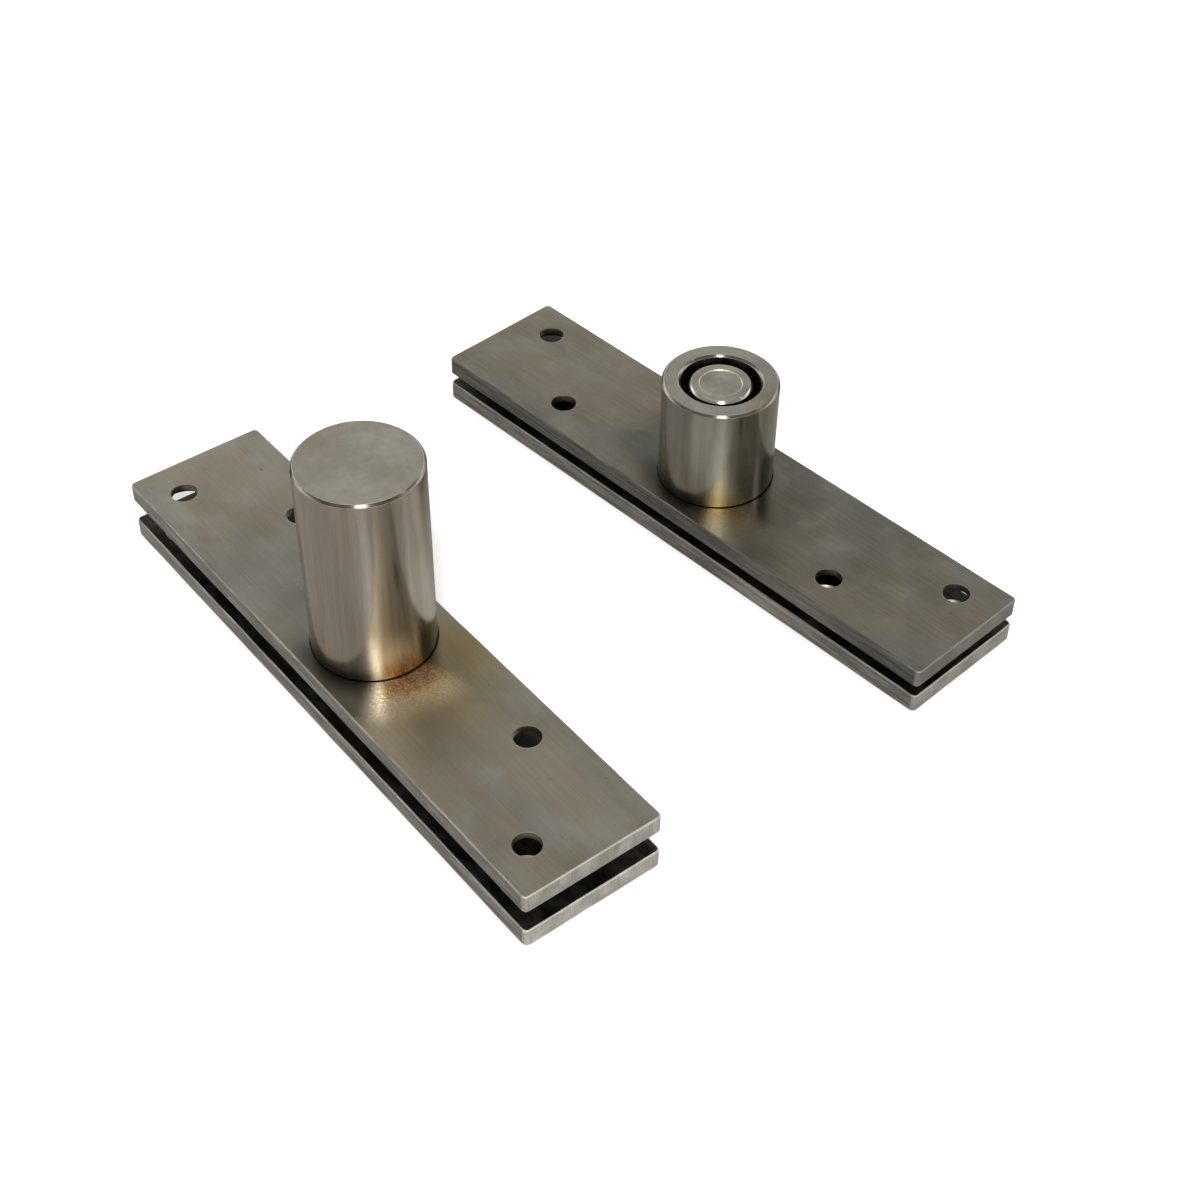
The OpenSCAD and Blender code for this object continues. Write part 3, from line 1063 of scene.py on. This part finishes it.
# The floor that the camera sees: pale, curving up into a pale wall far away
wall_r, wall_curve, wall_top = 1.6, 0.6, 2.5
curve_steps = 12
cove = [(0, 0), (0.3, 0), (0.7, 0), (wall_r - wall_curve, 0)]
cove += [
    (wall_r - wall_curve + wall_curve * math.sin(a), wall_curve - wall_curve * math.cos(a))
    for a in (math.pi / 2 * i / curve_steps for i in range(1, curve_steps + 1))
]
cove += [(wall_r, wall_top)]
floor = stage_object("studio_floor", cove, pale_floor())
floor.visible_glossy = False
floor.visible_diffuse = False
floor.visible_shadow = False
floor.visible_transmission = False

# A darker table top that only the metal mirrors
table_r, table_drop = 1.5, 0.5 * MM
table_sheet = [(0, -table_drop), (table_r, -table_drop)]
table = stage_object("table_for_reflections", table_sheet, grey_table())
table.visible_camera = False

# The room, from the horizon up: dark, a bright band, an even grey, and a bright zenith.
# Each level stands at the sine of an elevation.
SKY_LEVELS = [(0.0, 0.015), (0.3, 2.0), (0.57, 0.29), (0.82, 0.33)]
SKY_TINT = (1.0, 0.985, 0.95)
ZENITH = (1.0, 1.0, 1.0)
WINDOWS = [
    # azimuth, elevation, inner and outer half angle, strength, colour
    (172, 44, 8, 34, 0.13, (1.0, 0.985, 0.94)),
    (-30, 20, 8, 24, 1.0, (1.0, 0.98, 0.95)),
    (49, 42, 1.5, 5, 2.6, (1.0, 0.98, 0.93)),
]
SHADES = [
    # azimuth, elevation, inner and outer half angle, share of the light that is taken away
    (76, 42, 8, 18, 0.9),
]


def room_patch(tree, way, azimuth, elevation, inner_angle, outer_angle, outside, inside):
    """A value that goes from outside to inside near one direction in the room."""
    inputs = {0: way, 1: polar(azimuth, elevation)}
    dot = add_node(tree, "ShaderNodeVectorMath", inputs, operation="DOT_PRODUCT")
    inputs = {
        "Value": dot.outputs["Value"],
        "From Min": math.cos(math.radians(outer_angle)),
        "From Max": math.cos(math.radians(inner_angle)),
        "To Min": outside,
        "To Max": inside,
    }
    patch = add_node(tree, "ShaderNodeMapRange", inputs, interpolation_type="SMOOTHSTEP")
    return patch.outputs["Result"]


def studio_room():
    world = bpy.data.worlds.new("studio")
    bpy.context.scene.world = world
    world.use_nodes = True
    tree = world.node_tree
    way = add_node(tree, "ShaderNodeTexCoord").outputs["Generated"]
    rise = add_node(tree, "ShaderNodeSeparateXYZ", {0: way}).outputs["Z"]
    stops = [(z, tuple(level * c for c in SKY_TINT)) for z, level in SKY_LEVELS]
    total = colour_ramp(tree, rise, [*stops, (1.0, ZENITH)], "EASE")
    for *patch, strength, colour in WINDOWS:
        inputs = {0: colour, 1: room_patch(tree, way, *patch, 0.0, strength), 2: total}
        sum_node = add_node(tree, "ShaderNodeVectorMath", inputs, operation="MULTIPLY_ADD")
        total = sum_node.outputs["Vector"]
    for *patch, share in SHADES:
        inputs = {0: total, "Scale": room_patch(tree, way, *patch, 1.0, 1.0 - share)}
        total = add_node(tree, "ShaderNodeVectorMath", inputs, operation="SCALE").outputs["Vector"]
    tree.links.new(total, tree.nodes["Background"].inputs["Color"])


studio_room()


def link_and_aim(name, data, position, forward):
    """Puts a lamp in the scene, turned to shine forward."""
    lamp = bpy.data.objects.new(name, data)
    bpy.context.scene.collection.objects.link(lamp)
    lamp.location = position
    lamp.rotation_mode = "QUATERNION"
    lamp.rotation_quaternion = forward.to_track_quat("-Z", "Y")
    return lamp


# A small lamp near the camera gives the streaks on the barrels and the sparkle on their rims
pivot_gap = top_axis.y
lamp_aim = Vector((0, pivot_gap / 2, 0))
lamp_place = lamp_aim + polar(-34, 49.5, 2.0)
lamp_size, lamp_radiance = 0.4, 14.0
front_light = bpy.data.lights.new("front_lamp", "AREA")
front_light.shape = "SQUARE"
front_light.size = lamp_size
front_light.color = (0.94, 0.97, 1.0)
front_light.energy = lamp_radiance * math.pi * lamp_size * lamp_size
front_lamp = link_and_aim("front_lamp", front_light, lamp_place, lamp_aim - lamp_place)
front_lamp.visible_camera = False

# A wide lamp that lights only the pale floor, from a little above the camera's side
floor_light = bpy.data.lights.new("floor_lamp", "SUN")
floor_light.energy = 2.7
floor_light.angle = math.radians(14)
floor_lamp = link_and_aim("floor_lamp", floor_light, (0, 0, 0), -polar(-39, 52))
lit_by_floor_lamp = bpy.data.collections.new("lit_by_floor_lamp")
lit_by_floor_lamp.objects.link(floor)
floor_lamp.light_linking.receiver_collection = lit_by_floor_lamp

# The camera looks down along both units, from in front of the tall barrel
VIEW_AZIMUTH, VIEW_PITCH, VIEW_ROLL = 141.1, 43.6, 0.88
VIEW_DISTANCE = 0.4067
aim = Vector((0.0075, pivot_gap / 2 + 0.0061, 0))
forward = polar(VIEW_AZIMUTH, -VIEW_PITCH)
camera_data = bpy.data.cameras.new("camera")
camera_data.lens = 60.3
camera_data.sensor_width = 36
camera_data.clip_start = 0.01
camera_data.clip_end = 20
camera = bpy.data.objects.new("camera", camera_data)
bpy.context.scene.collection.objects.link(camera)
camera.location = aim - forward * VIEW_DISTANCE
camera.rotation_mode = "QUATERNION"
camera.rotation_quaternion = forward.to_track_quat("-Z", "Y") @ Matrix.Rotation(
    math.radians(VIEW_ROLL), 3, "Z"
).to_quaternion()
bpy.context.scene.camera = camera
bpy.context.scene.view_settings.view_transform = "Standard"

# ---------------------------------------------------------------- end

bpy.context.view_layer.update()
